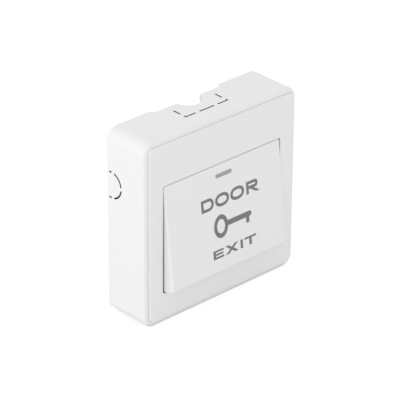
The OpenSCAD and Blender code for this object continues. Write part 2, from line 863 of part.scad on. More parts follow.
// Compression spring standing on z = 0, its end turns lying flat
module coil_spring(outer, wire, turns, length) {
    sides = 8;
    per_turn = 18;
    rings = floor(turns * per_turn);
    radius = outer - wire;
    pitch_turns = turns - 2;
    function rise(t) = t < 1 ? 0 : t > turns - 1 ? 1 : (t - 1) / pitch_turns;
    function end_rise(t) = 2 * wire * (min(t, 1) + max(0, t - turns + 1));
    points = [
        for (k = [0:rings]) let (t = k * turns / rings)
            each wire_ring(radius, wire, 360 * t, wire + end_rise(t) + rise(t) * (length - 6 * wire), sides)
    ];
    faces = [
        [for (i = [sides - 1:-1:0]) i],
        [for (i = [0:sides - 1]) rings * sides + i],
        for (k = [0:rings - 1], i = [0:sides - 1]) let (j = (i + 1) % sides, a = k * sides, b = a + sides)
            each [[a + i, a + j, b + i], [b + i, a + j, b + j]]
    ];
    polyhedron(points, faces);
}

module return_springs() {
    color("silver") upright() both_sides() translate([spring_out, spring_y, spring_seat])
        coil_spring(spring_r, wire_r, spring_turns, spring_top - spring_seat - spring_end_gap);
}

module circuit_board() {
    color("darkgreen") upright() translate([0, 0, board_back]) linear_extrude(board_t) difference() {
        translate([0, board_up]) rounded_rect(board_w, board_h, board_corner);
        translate([0, board_up]) each_board_screw() circle(board_screw_r + hole_play);
        for (side = [-1, 1]) translate([side * lamp_pitch / 2, lamp_y]) circle(leg_r + hole_play);
        each_way() circle(solder_r + hole_play);
        for (x = [-1, 0, 1]) translate([switch_x + x * (switch_w / 2 - terminal_in), switch_y])
            square([terminal_t + hole_play, terminal_w / 2 + hole_play], center = true);
    }
}

module board_screws() {
    color("silver") upright() translate([0, board_up, board_back]) each_board_screw() mirror([0, 0, 1])
        slotted_screw(board_screw_r, board_screw_len, board_head_r, board_head_h);
}

module switch_base() {
    color("black") upright() translate([switch_x, switch_y, board_front]) difference() {
        union() {
            linear_extrude(switch_base_h) rounded_rect(switch_w, switch_t, switch_corner);
            linear_extrude(switch_base_h + upstand)
                square([switch_w - 2 * upstand_in, switch_t - 2 * upstand_in], center = true);
        }
        for (x = [-1, 0, 1]) translate([x * (switch_w / 2 - terminal_in), 0, -over])
            linear_extrude(switch_base_h + upstand + 2 * over)
                square([terminal_t + 2 * plug_play, terminal_w + 2 * plug_play], center = true);
    }
}

module switch_cover() {
    color("dimgray") upright() translate([switch_x, switch_y, 0]) difference() {
        translate([0, 0, switch_split]) linear_extrude(switch_cover_h)
            rounded_rect(switch_w, switch_t, switch_corner);
        translate([0, 0, switch_split - over]) linear_extrude(switch_cover_h - switch_roof + over)
            square([switch_w - 2 * switch_wall, switch_t - 2 * switch_wall], center = true);
        translate([-plunger_off, 0, switch_split])
            cylinder(r = plunger_r + pin_play, h = switch_cover_h + over);
    }
}

module switch_plunger() {
    collar_h = 1;
    collar_out = 0.6;
    collar_gap = 0.3;
    collar_top = switch_top - switch_roof - collar_gap;
    color("firebrick") upright() translate([0, switch_y, 0]) {
        translate([0, 0, plunger_foot])
            cylinder(r = plunger_r, h = plunger_tip - plunger_foot - plunger_r / 2);
        translate([0, 0, plunger_tip - plunger_r]) intersection() {
            cylinder(r = plunger_r, h = plunger_r);
            sphere(r = plunger_r * 1.25);
        }
        translate([0, 0, collar_top - collar_h]) cylinder(r = plunger_r + collar_out, h = collar_h);
    }
}

// Snap blade: a springy strip from the common terminal to the moving contact, with a bowed tongue
module snap_blade() {
    x0 = switch_x - switch_w / 2 + terminal_in + terminal_t / 2;
    x1 = switch_x + contact_x;
    blade_w = 3;
    bridge = 0.4;
    slot_from = plunger_r + bridge;
    slot_to = x1 - point_r - 2.5 * bridge;
    color("goldenrod") upright() translate([0, switch_y, blade_z]) {
        difference() {
            translate([x0, -blade_w / 2, 0]) cube([x1 + contact_r - x0, blade_w, blade_t]);
            translate([slot_from, -blade_w / 6, -over])
                cube([slot_to - slot_from, blade_w / 3, blade_t + 2 * over]);
        }
        translate([x1, 0, -contact_h]) cylinder(r = point_r, h = 2 * contact_h + blade_t);
    }
}

// Strip of a switch terminal: a tail through the board and an upright up to a height
module terminal_strip(x, top) {
    translate([switch_x + x - terminal_t / 2, switch_y, 0]) {
        translate([0, -terminal_w / 4, tail_end]) cube([terminal_t, terminal_w / 2, board_front - tail_end]);
        translate([0, -terminal_w / 2, board_front]) cube([terminal_t, terminal_w, top - board_front]);
    }
}

module common_terminal() {
    color("tan") upright() terminal_strip(terminal_in - switch_w / 2, blade_z + blade_t);
}

module normally_open_terminal() {
    point_foot = upstand_top + terminal_t / 2;
    point_top = blade_z - contact_h - contact_gap;
    color("tan") upright() {
        terminal_strip(0, upstand_top + terminal_t);
        translate([switch_x - terminal_t / 2, switch_y - terminal_w / 2, upstand_top])
            cube([contact_x + contact_r, terminal_w, terminal_t]);
        translate([switch_x + contact_x, switch_y, point_foot])
            cylinder(r = point_r, h = point_top - point_foot);
    }
}

module normally_closed_terminal() {
    point_foot = blade_z + blade_t + contact_h + plug_play;
    arm_z = point_foot + contact_h;
    color("tan") upright() {
        terminal_strip(switch_w / 2 - terminal_in, arm_z + terminal_t);
        translate([switch_x + contact_x - contact_r, switch_y - terminal_w / 2, arm_z])
            cube([switch_w / 2 - terminal_in - contact_x + contact_r, terminal_w, terminal_t]);
        translate([switch_x + contact_x, switch_y, point_foot])
            cylinder(r = point_r, h = contact_h + terminal_t / 2);
    }
}

module terminal_block() {
    room_w = clamp_w + 2 * clamp_play;
    room_l = clamp_l + 2 * clamp_play;
    entry_w = clamp_w - 2 * clamp_t;
    entry_h = clamp_h - 2 * clamp_t;
    color("seagreen") upright() difference() {
        translate([-block_w / 2, block_y - block_t / 2, board_front]) cube([block_w, block_t, block_h]);
        each_way() {
            translate([-room_w / 2, chamber_y - room_l / 2, chamber_floor])
                cube([room_w, room_l, clamp_h + clamp_travel]);
            translate([0, chamber_y, chamber_floor]) cylinder(r = clamp_head_r + clamp_play, h = block_h);
            translate([-entry_w / 2, -block_t / 2 - over, chamber_floor + clamp_t])
                cube([entry_w, block_wall + 2 * over, entry_h]);
            translate([0, 0, board_front - over])
                cylinder(r = solder_r + plug_play, h = chamber_floor - board_front + 2 * over);
        }
    }
}

module wire_clamps() {
    inside_w = clamp_w - 2 * clamp_t;
    color("silver") upright() each_way() translate([0, chamber_y, chamber_floor]) difference() {
        translate([-clamp_w / 2, -clamp_l / 2, 0]) cube([clamp_w, clamp_l, clamp_h]);
        translate([-inside_w / 2, -clamp_l, clamp_t]) cube([inside_w, 2 * clamp_l, clamp_h - 2 * clamp_t]);
        translate([0, 0, clamp_h / 2]) cylinder(r = clamp_screw_r + fit_play, h = clamp_h);
    }
}

module clamp_screws() {
    tip_z = chamber_floor + clamp_h - clamp_t - clamp_travel;
    color("silver") upright() each_way() translate([0, chamber_y, clamp_head_z])
        slotted_screw(clamp_screw_r, clamp_head_z - tip_z, clamp_head_r, clamp_head_h);
}

module solder_pins() {
    color("silver") upright() each_way() translate([0, 0, tail_end])
        cylinder(r = solder_r, h = chamber_floor - tail_end);
}

module lamp() {
    color("palegreen") upright() translate([0, lamp_y, lamp_seat]) {
        cylinder(r = lamp_flange_r, h = lamp_flange_h);
        cylinder(r = lamp_r, h = lamp_h);
        translate([0, 0, lamp_h]) sphere(r = lamp_r);
    }
}

module lamp_legs() {
    color("silver") upright() for (side = [-1, 1]) translate([side * lamp_pitch / 2, lamp_y, tail_end])
        cylinder(r = leg_r, h = lamp_seat - tail_end);
}

module chip_resistor() {
    chip = [3.2, 1.6, 0.6];
    color("dimgray") upright() translate([-chip_out, chip_y, board_front + chip[2] / 2])
        cube(chip, center = true);
}

module protection_diode() {
    body = [4.4, 2.6, 2];
    color("black") upright() translate([chip_out, chip_y, board_front + body[2] / 2])
        cube(body, center = true);
}

back_box();
thread_inserts();
mounting_frame();
frame_screws();
face_plate();
press_plate();
indicator_lens();
return_springs();
circuit_board();
board_screws();
switch_base();
switch_cover();
switch_plunger();
snap_blade();
common_terminal();
normally_open_terminal();
normally_closed_terminal();
terminal_block();
wire_clamps();
clamp_screws();
solder_pins();
lamp();
lamp_legs();
chip_resistor();
protection_diode();
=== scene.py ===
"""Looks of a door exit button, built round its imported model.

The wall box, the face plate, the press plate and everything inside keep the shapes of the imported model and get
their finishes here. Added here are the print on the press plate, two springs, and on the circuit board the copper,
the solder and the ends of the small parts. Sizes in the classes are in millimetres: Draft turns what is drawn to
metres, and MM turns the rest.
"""

import logging
import math
from dataclasses import dataclass, field
from enum import Enum

import bmesh
import bpy
from mathutils import Matrix, Vector


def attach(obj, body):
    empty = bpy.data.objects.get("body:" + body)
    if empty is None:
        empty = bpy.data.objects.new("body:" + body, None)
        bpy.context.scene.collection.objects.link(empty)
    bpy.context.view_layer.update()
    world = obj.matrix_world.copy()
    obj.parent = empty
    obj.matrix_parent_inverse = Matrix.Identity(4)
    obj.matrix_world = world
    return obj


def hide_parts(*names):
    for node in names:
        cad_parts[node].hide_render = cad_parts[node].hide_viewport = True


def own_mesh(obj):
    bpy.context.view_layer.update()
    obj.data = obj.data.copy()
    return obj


LOG = logging.getLogger("exit_button")
MM = 0.001
Triple = tuple[float, float, float]
Colour = Triple


class Body(Enum):
    """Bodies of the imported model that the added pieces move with."""

    BASE = "base"
    PRESS = "press"


class Slot(Enum):
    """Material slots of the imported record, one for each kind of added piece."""

    PRINT = "grey_lens"
    METAL = "tinned_copper"
    BOARD = "board_laminate"
    SPRINGS = "spring_steel"


def srgb(level: float, warmth: float = 0.0) -> Colour:
    """Turns a display grey from 0 to 255 into a linear colour.

    Args:
        level: Brightness on the display scale.
        warmth: Part by which red rises and blue falls; below 0 the grey turns cool.

    Returns:
        Linear red, green and blue.
    """
    share = level / 255
    linear = share / 12.92 if share <= 0.04045 else ((share + 0.055) / 1.055) ** 2.4
    return (linear * (1 + warmth), linear, linear * (1 - warmth))


class NodeSheet:
    """Small help for laying out the nodes of a material or a group.

    The MIX values are the places of a Mix node's colour sockets, whose names its other sockets also have.
    """

    MIX_FIRST = 6
    MIX_SECOND = 7
    MIX_RESULT = 2

    def __init__(self, tree: bpy.types.NodeTree) -> None:
        """Starts on an emptied node tree.

        Args:
            tree: The tree that gets the nodes.
        """
        self.tree = tree
        tree.nodes.clear()

    def add(self, kind: str, settings: dict | None = None, **inputs: object) -> bpy.types.Node:
        """Adds a node.

        Args:
            kind: Type name of the node.
            settings: Properties of the node itself.
            **inputs: Values or output sockets for its inputs, blanks in their names written as underscores.

        Returns:
            The new node.
        """
        node = self.tree.nodes.new(kind)
        for name, value in (settings or {}).items():
            setattr(node, name, value)
        for name, value in inputs.items():
            self.feed(node.inputs[name.replace("_", " ")], value)
        return node

    def feed(self, socket: bpy.types.NodeSocket, value: object) -> None:
        """Links an output to an input socket, or sets the socket's own value.

        Args:
            socket: The input.
            value: An output socket, a number, or a colour of three numbers.
        """
        if isinstance(value, bpy.types.NodeSocket):
            self.tree.links.new(value, socket)
        elif isinstance(value, tuple) and socket.type == "RGBA":
            socket.default_value = (*value, 1.0)
        else:
            socket.default_value = value

    def maths(self, operation: str, *values: object) -> bpy.types.NodeSocket:
        """Adds a sum on one, two or three values.

        Args:
            operation: Name of the sum.
            *values: Numbers or output sockets.

        Returns:
            The result socket.
        """
        node = self.tree.nodes.new("ShaderNodeMath")
        node.operation = operation
        for socket, value in zip(node.inputs, values):
            self.feed(socket, value)
        return node.outputs[0]

    def blend(self, factor: object, first: object, second: object, mode: str = "MIX") -> bpy.types.NodeSocket:
        """Mixes two colours.

        Args:
            factor: Share of the second colour.
            first: A colour or a colour socket.
            second: A colour or a colour socket.
            mode: Name of the blend mode.

        Returns:
            The mixed colour socket.
        """
        node = self.tree.nodes.new("ShaderNodeMix")
        node.data_type = "RGBA"
        node.blend_type = mode
        self.feed(node.inputs["Factor"], factor)
        self.feed(node.inputs[self.MIX_FIRST], first)
        self.feed(node.inputs[self.MIX_SECOND], second)
        return node.outputs[self.MIX_RESULT]

    def spread(self, value: object, start: float, end: float, low: object = 0.0,
               high: object = 1.0) -> bpy.types.NodeSocket:
        """Spreads one range of a value over another and holds it there.

        Args:
            value: Number or output socket.
            start: Value that gives the low result.
            end: Value that gives the high result.
            low: Result at the start.
            high: Result at the end.

        Returns:
            The result socket.
        """
        return self.add("ShaderNodeMapRange", Value=value, From_Min=start, From_Max=end, To_Min=low,
                        To_Max=high).outputs["Result"]


class ShaderGroups:
    """Effects that more than one finish uses, each a node group that is built once.

    CLOSED and ROOMY are shares of open sky round a point. The pair after them is the stretch of height, from top
    to foot, over which the painted shade in gaps grows stronger.
    """

    MOTTLE_SCALE = 38.0
    GLOSS_SWING = 0.12
    RUB_AND_HIGHLIGHT_PATCHES = 420.0
    RUB_AND_HIGHLIGHT_BEND = (0.02, 0.22)
    CLOSED = (0.56, 0.42)
    ROOMY = (0.5, 0.7)
    # Heights over which the painted shade in gaps goes from its upper to its lower strength.
    PAINTED_SHADE_SPAN = (0.018, -0.012)
    CLOUD_SCALE = 260.0
    DULL_SHARE = 0.35
    DULL = (0.25, 0.24, 0.22)
    LINE_SWING = 0.3

    def __init__(self) -> None:
        """Builds every group."""
        self.grain = self._grain()
        self.rub_and_highlight_edges = self._rub_and_highlight_edges()
        self.crevice_painted_shade_and_glow = self._crevice_painted_shade_and_glow()
        self.draw_marks = self._draw_marks()

    @staticmethod
    def _open(name: str, inputs: dict[str, tuple[str, object]],
              outputs: dict[str, str]) -> tuple[bpy.types.NodeTree, NodeSheet, bpy.types.Node, bpy.types.Node]:
        """Makes an empty group with its sockets.

        Args:
            name: Name of the group.
            inputs: Socket kind and default value of each input.
            outputs: Socket kind of each output.

        Returns:
            The group, its sheet, its input node and its output node.
        """
        group = bpy.data.node_groups.new(name, "ShaderNodeTree")
        for label, (kind, value) in inputs.items():
            socket = group.interface.new_socket(name=label, in_out="INPUT", socket_type=kind)
            socket.default_value = (*value, 1.0) if kind == "NodeSocketColor" else value
        for label, kind in outputs.items():
            group.interface.new_socket(name=label, in_out="OUTPUT", socket_type=kind)
        sheet = NodeSheet(group)
        return group, sheet, sheet.add("NodeGroupInput"), sheet.add("NodeGroupOutput")

    def _grain(self) -> bpy.types.NodeTree:
        """Fine spark-eroded grain of a mould, with a slow mottle in the colour and the gloss.

        Returns:
            The group.
        """
        group, sheet, given, result = self._open(
            "mould_grain",
            {"Colour": ("NodeSocketColor", (0.8, 0.8, 0.8)), "Grains": ("NodeSocketFloat", 2600.0),
             "Mottle": ("NodeSocketFloat", 0.03), "Roughness": ("NodeSocketFloat", 0.4)},
            {"Colour": "NodeSocketColor", "Roughness": "NodeSocketFloat", "Height": "NodeSocketFloat"})
        place = sheet.add("ShaderNodeTexCoord").outputs["Object"]
        fine = sheet.add("ShaderNodeTexNoise", Vector=place, Scale=given.outputs["Grains"], Detail=3.0,
                         Roughness=0.6).outputs["Fac"]
        slow = sheet.add("ShaderNodeTexNoise", Vector=place, Scale=self.MOTTLE_SCALE, Detail=4.0,
                         Roughness=0.55).outputs["Fac"]
        swing = sheet.maths("MULTIPLY", sheet.maths("SUBTRACT", slow, 0.5), given.outputs["Mottle"])
        shade = sheet.maths("ADD", 1.0, swing)
        tone = sheet.add("ShaderNodeCombineColor", Red=shade, Green=shade, Blue=shade).outputs["Color"]
        sheet.feed(result.inputs["Colour"], sheet.blend(1.0, given.outputs["Colour"], tone, "MULTIPLY"))
        gloss = sheet.maths("MULTIPLY_ADD", sheet.maths("SUBTRACT", fine, 0.5), self.GLOSS_SWING,
                            given.outputs["Roughness"])
        sheet.feed(result.inputs["Roughness"], sheet.maths("ADD", gloss, swing))
        sheet.feed(result.inputs["Height"], fine)
        return group

    def _rub_and_highlight_edges(self) -> bpy.types.NodeTree:
        """Edges that hands have rubbed smooth: a mask along the edges and a normal that rounds them; the mask also
        lightens the edges as a painted highlight.

        Returns:
            The group.
        """
        group, sheet, given, result = self._open(
            "edge_rub_and_highlight_mask", {"Radius": ("NodeSocketFloat", 0.0003)},
            {"Mask": "NodeSocketFloat", "Normal": "NodeSocketVector"})
        bevel = sheet.add("ShaderNodeBevel", {"samples": 4}, Radius=given.outputs["Radius"])
        rounded = bevel.outputs["Normal"]
        flat = sheet.add("ShaderNodeNewGeometry").outputs["Normal"]
        turn = sheet.add("ShaderNodeVectorMath", {"operation": "DOT_PRODUCT"})
        sheet.feed(turn.inputs[0], rounded)
        sheet.feed(turn.inputs[1], flat)
        place = sheet.add("ShaderNodeTexCoord").outputs["Object"]
        patch = sheet.add("ShaderNodeTexNoise", Vector=place, Scale=self.RUB_AND_HIGHLIGHT_PATCHES, Detail=2.0).outputs["Fac"]
        edge = sheet.spread(sheet.maths("SUBTRACT", 1.0, turn.outputs["Value"]), *self.RUB_AND_HIGHLIGHT_BEND)
        sheet.feed(result.inputs["Mask"], sheet.maths("MULTIPLY", edge, patch))
        sheet.feed(result.inputs["Normal"], rounded)
        return group

    def _crevice_painted_shade_and_glow(self) -> bpy.types.NodeTree:
        """Painted shade, near black, in slits and gaps of the outer skin, stronger towards the foot; hair cracks
        take none of it and get a painted glow instead.

        Skin is what lies outside the Sides, on any of the four edges, or in front of the Front.

        Returns:
            The group.
        """
        group, sheet, given, result = self._open(
            "crevice_painted_shade_and_glow",
            {"Reach": ("NodeSocketFloat", 0.002), "Hair": ("NodeSocketFloat", 0.0003),
             "Upper": ("NodeSocketFloat", 0.5), "Lower": ("NodeSocketFloat", 1.0),
             "Sides": ("NodeSocketFloat", 0.0411), "Front": ("NodeSocketFloat", -0.0225)},
            {"Mask": "NodeSocketFloat", "Seam": "NodeSocketFloat"})
        wide = sheet.add("ShaderNodeAmbientOcclusion", {"samples": 12}, Distance=given.outputs["Reach"])
        hair = sheet.add("ShaderNodeAmbientOcclusion", {"samples": 6}, Distance=given.outputs["Hair"])
        closed = sheet.spread(wide.outputs["AO"], *self.CLOSED)
        roomy = sheet.spread(hair.outputs["AO"], *self.ROOMY)
        place = sheet.add("ShaderNodeSeparateXYZ", Vector=sheet.add("ShaderNodeTexCoord").outputs["Object"])
        depth = sheet.spread(place.outputs["Z"], *self.PAINTED_SHADE_SPAN, given.outputs["Upper"],
                             given.outputs["Lower"])
        aside = sheet.maths("MAXIMUM", sheet.maths("ABSOLUTE", place.outputs["X"]),
                            sheet.maths("ABSOLUTE", place.outputs["Z"]))
        skin = sheet.maths("MAXIMUM", sheet.maths("GREATER_THAN", aside, given.outputs["Sides"]),
                           sheet.maths("LESS_THAN", place.outputs["Y"], given.outputs["Front"]))
        # Painted shade: closed-in gaps on the outer skin are darkened, more so towards the foot.
        painted_shade = sheet.maths("MULTIPLY", sheet.maths("MULTIPLY", closed, roomy), skin)
        sheet.feed(result.inputs["Mask"], sheet.maths("MULTIPLY", painted_shade, depth))
        # Painted glow: hair cracks are lightened towards white, standing in for light through thin plastic.
        sheet.feed(result.inputs["Seam"], sheet.maths("SUBTRACT", 1.0, roomy))
        return group

    def _draw_marks(self) -> bpy.types.NodeTree:
        """Fine lines that drawing, rolling or turning leaves on metal, with a faint dulling.

        Returns:
            The group.
        """
        group, sheet, given, result = self._open(
            "draw_marks",
            {"Colour": ("NodeSocketColor", (0.7, 0.7, 0.7)), "Lines": ("NodeSocketFloat", 900.0),
             "Stretch": ("NodeSocketVector", (1.0, 1.0, 0.08)), "Roughness": ("NodeSocketFloat", 0.3)},
            {"Colour": "NodeSocketColor", "Roughness": "NodeSocketFloat", "Height": "NodeSocketFloat"})
        place = sheet.add("ShaderNodeTexCoord").outputs["Object"]
        drawn = sheet.add("ShaderNodeVectorMath", {"operation": "MULTIPLY"})
        sheet.feed(drawn.inputs[0], place)
        sheet.feed(drawn.inputs[1], given.outputs["Stretch"])
        lines = sheet.add("ShaderNodeTexNoise", Vector=drawn.outputs["Vector"], Scale=given.outputs["Lines"],
                          Detail=3.0).outputs["Fac"]
        cloud = sheet.add("ShaderNodeTexNoise", Vector=place, Scale=self.CLOUD_SCALE, Detail=3.0).outputs["Fac"]
        dull = sheet.blend(sheet.maths("MULTIPLY", cloud, self.DULL_SHARE), given.outputs["Colour"], self.DULL)
        sheet.feed(result.inputs["Colour"], dull)
        rough = sheet.maths("MULTIPLY_ADD", sheet.maths("SUBTRACT", lines, 0.5), self.LINE_SWING,
                            given.outputs["Roughness"])
        sheet.feed(result.inputs["Roughness"], rough)
        sheet.feed(result.inputs["Height"], lines)
        return group


def place_group(sheet: NodeSheet, group: bpy.types.NodeTree, **inputs: object) -> bpy.types.Node:
    """Puts a shared group in a material.

    Args:
        sheet: Sheet of the material.
        group: The group.
        **inputs: Values of the group's inputs.

    Returns:
        The group node.
    """
    node = sheet.tree.nodes.new("ShaderNodeGroup")
    node.node_tree = group
    for name, value in inputs.items():
        sheet.feed(node.inputs[name], value)
    return node


def new_material(name: str) -> tuple[bpy.types.Material, NodeSheet]:
    """Makes a material with an empty node tree.

    Args:
        name: Name of the finish.

    Returns:
        The material and the sheet of its tree.
    """
    material = bpy.data.materials.new(name)
    material.use_nodes = True
    return material, NodeSheet(material.node_tree)


def close_material(sheet: NodeSheet, shader: bpy.types.NodeSocket) -> None:
    """Feeds a shader to the material's output.

    Args:
        sheet: Sheet of the material.
        shader: The shader's output.
    """
    sheet.add("ShaderNodeOutputMaterial", Surface=shader)


def close_surface(sheet: NodeSheet, surface: bpy.types.Node, depth: float) -> bpy.types.Node:
    """Shades what a shared effect puts out and closes the material.

    Args:
        sheet: Sheet of the material.
        surface: The group node, which puts out a colour, a roughness and a height.
        depth: Depth of its relief in millimetres.

    Returns:
        The Principled shader, for what the finish still sets on it.
    """
    bump = sheet.add("ShaderNodeBump", Height=surface.outputs["Height"], Distance=depth * MM, Strength=1.0)
    shader = sheet.add("ShaderNodeBsdfPrincipled", Base_Color=surface.outputs["Colour"],
                       Roughness=surface.outputs["Roughness"], Normal=bump.outputs["Normal"])
    close_material(sheet, shader.outputs["BSDF"])
    return shader


@dataclass(frozen=True)
class MouldedPlastic:
    """Injection moulded plastic: a fine grain, a slow mottle, and edges that are rubbed a little smoother and
    lightened towards white as a painted highlight.

    Plastic of an outer piece also gets painted shade, near black, in its slits and gaps, and a painted glow in its
    hair cracks that stands in for light through their thin edges.
    """

    name: str
    colour: Colour
    roughness: float = 0.42
    grains: float = 2600.0
    depth: float = 0.004
    mottle: float = 0.02
    edge_radius: float = 0.15
    # Strength of the painted highlight on the edges, which also sets how much smoother they are.
    edge_rub_and_highlight: float = 0.12
    # Colour of the painted shade in slits and gaps, and its strength at the top and at the foot.
    outer: bool = False
    painted_shade_colour: Colour = (0.03, 0.03, 0.032)
    painted_shade_upper: float = 0.0
    painted_shade_lower: float = 0.0

    def build(self, groups: ShaderGroups) -> bpy.types.Material:
        """Makes the material.

        Args:
            groups: The shared effects.

        Returns:
            The material.
        """
        material, sheet = new_material(self.name)
        grain = place_group(sheet, groups.grain, Colour=self.colour, Grains=self.grains, Mottle=self.mottle,
                            Roughness=self.roughness)
        rub_and_highlight_edges = place_group(sheet, groups.rub_and_highlight_edges, Radius=self.edge_radius * MM)
        # Painted highlight: along the edges the colour is lifted towards white; the same mask lowers the roughness
        # for the real rub.
        rub_and_highlight = sheet.maths("MULTIPLY", rub_and_highlight_edges.outputs["Mask"], self.edge_rub_and_highlight)
        colour = sheet.blend(rub_and_highlight, grain.outputs["Colour"], (1.0, 1.0, 1.0))
        if self.outer:
            crevice_painted_shade_and_glow = place_group(sheet, groups.crevice_painted_shade_and_glow, Upper=self.painted_shade_upper, Lower=self.painted_shade_lower)
            # Painted shade: slits and gaps are darkened towards near black.
            colour = sheet.blend(crevice_painted_shade_and_glow.outputs["Mask"], colour, self.painted_shade_colour)
            # Painted glow: hair cracks are lightened towards white.
            colour = sheet.blend(crevice_painted_shade_and_glow.outputs["Seam"], colour, (1.0, 1.0, 1.0))
        rough = sheet.maths("SUBTRACT", grain.outputs["Roughness"], rub_and_highlight)
        bump = sheet.add("ShaderNodeBump", Height=grain.outputs["Height"], Distance=self.depth * MM,
                         Strength=1.0, Normal=rub_and_highlight_edges.outputs["Normal"])
        shader = sheet.add("ShaderNodeBsdfPrincipled", Base_Color=colour, Roughness=rough,
                           Normal=bump.outputs["Normal"])
        shader.inputs["IOR"].default_value = 1.5
        close_material(sheet, shader.outputs["BSDF"])
        return material


@dataclass(frozen=True)
class TintedLens:
    """Clear plastic, tinted and backed, so that it reads as a grey window when its lamp is off."""

    name: str
    colour: Colour
    roughness: float = 0.22
    depth: float = 0.002

    def build(self, groups: ShaderGroups) -> bpy.types.Material:
        """Makes the material.

        Args:
            groups: The shared effects.

        Returns:
            The material.
        """
        material, sheet = new_material(self.name)
        grain = place_group(sheet, groups.grain, Colour=self.colour, Grains=900.0, Mottle=0.06,
                            Roughness=self.roughness)
        shader = close_surface(sheet, grain, self.depth)
        shader.inputs["Coat Weight"].default_value = 0.3
        shader.inputs["Coat Roughness"].default_value = 0.12
        return material


@dataclass(frozen=True)
class PrintedInk:
    """Pad-printed ink: matt, with small differences in how thick it lies."""

    name: str
    colour: Colour
    roughness: float = 0.55
    depth: float = 0.006

    def build(self, groups: ShaderGroups) -> bpy.types.Material:
        """Makes the material.

        Args:
            groups: The shared effects.

        Returns:
            The material.
        """
        material, sheet = new_material(self.name)
        grain = place_group(sheet, groups.grain, Colour=self.colour, Grains=1700.0, Mottle=0.22,
                            Roughness=self.roughness)
        close_surface(sheet, grain, self.depth)
        return material


@dataclass(frozen=True)
class WorkedMetal:
    """Plated or bare metal with the lines of its drawing, rolling or turning."""

    name: str
    colour: Colour
    roughness: float = 0.3
    lines: float = 900.0
    stretch: Triple = (1.0, 1.0, 0.08)
    depth: float = 0.004

    def build(self, groups: ShaderGroups) -> bpy.types.Material:
        """Makes the material.

        Args:
            groups: The shared effects.

        Returns:
            The material.
        """
        material, sheet = new_material(self.name)
        marks = place_group(sheet, groups.draw_marks, Colour=self.colour, Lines=self.lines,
                            Stretch=self.stretch, Roughness=self.roughness)
        close_surface(sheet, marks, self.depth).inputs["Metallic"].default_value = 1.0
        return material


@dataclass(frozen=True)
class BoardLaminate:
    """Circuit board: green lacquer on its two faces and woven glass laminate along its cut edges."""

    name: str
    lacquer: Colour
    laminate: Colour
    threads: float = 900.0
    weave_shade: float = 0.05
    darker: float = 0.72
    lacquer_roughness: float = 0.3
    cut_roughness: float = 0.75
    depth: float = 0.006

    def build(self, groups: ShaderGroups) -> bpy.types.Material:
        """Makes the material.

        Args:
            groups: The shared effects.

        Returns:
            The material.
        """
        material, sheet = new_material(self.name)
        facing = sheet.add("ShaderNodeNewGeometry").outputs["True Normal"]
        turned = sheet.add("ShaderNodeSeparateXYZ", Vector=facing).outputs["Y"]
        face = sheet.maths("GREATER_THAN", sheet.maths("ABSOLUTE", turned), 0.7)
        place = sheet.add("ShaderNodeTexCoord").outputs["Object"]
        axes = sheet.add("ShaderNodeSeparateXYZ", Vector=place)
        warp = sheet.maths("SINE", sheet.maths("MULTIPLY", axes.outputs["X"], self.threads * math.tau))
        weft = sheet.maths("SINE", sheet.maths("MULTIPLY", axes.outputs["Z"], self.threads * math.tau))
        weave = sheet.maths("MULTIPLY", warp, weft)
        shade = sheet.maths("MULTIPLY_ADD", weave, self.weave_shade, 0.5)
        lacquer = sheet.blend(shade, self.lacquer, tuple(self.darker * part for part in self.lacquer))
        grain = place_group(sheet, groups.grain, Colour=lacquer, Mottle=0.12)
        colour = sheet.blend(face, self.laminate, grain.outputs["Colour"])
        rough = sheet.spread(face, 0.0, 1.0, self.cut_roughness, self.lacquer_roughness)
        bump = sheet.add("ShaderNodeBump", Height=weave, Distance=self.depth * MM, Strength=0.6)
        shader = sheet.add("ShaderNodeBsdfPrincipled", Base_Color=colour, Roughness=rough,
                           Normal=bump.outputs["Normal"])
        close_material(sheet, shader.outputs["BSDF"])
        return material


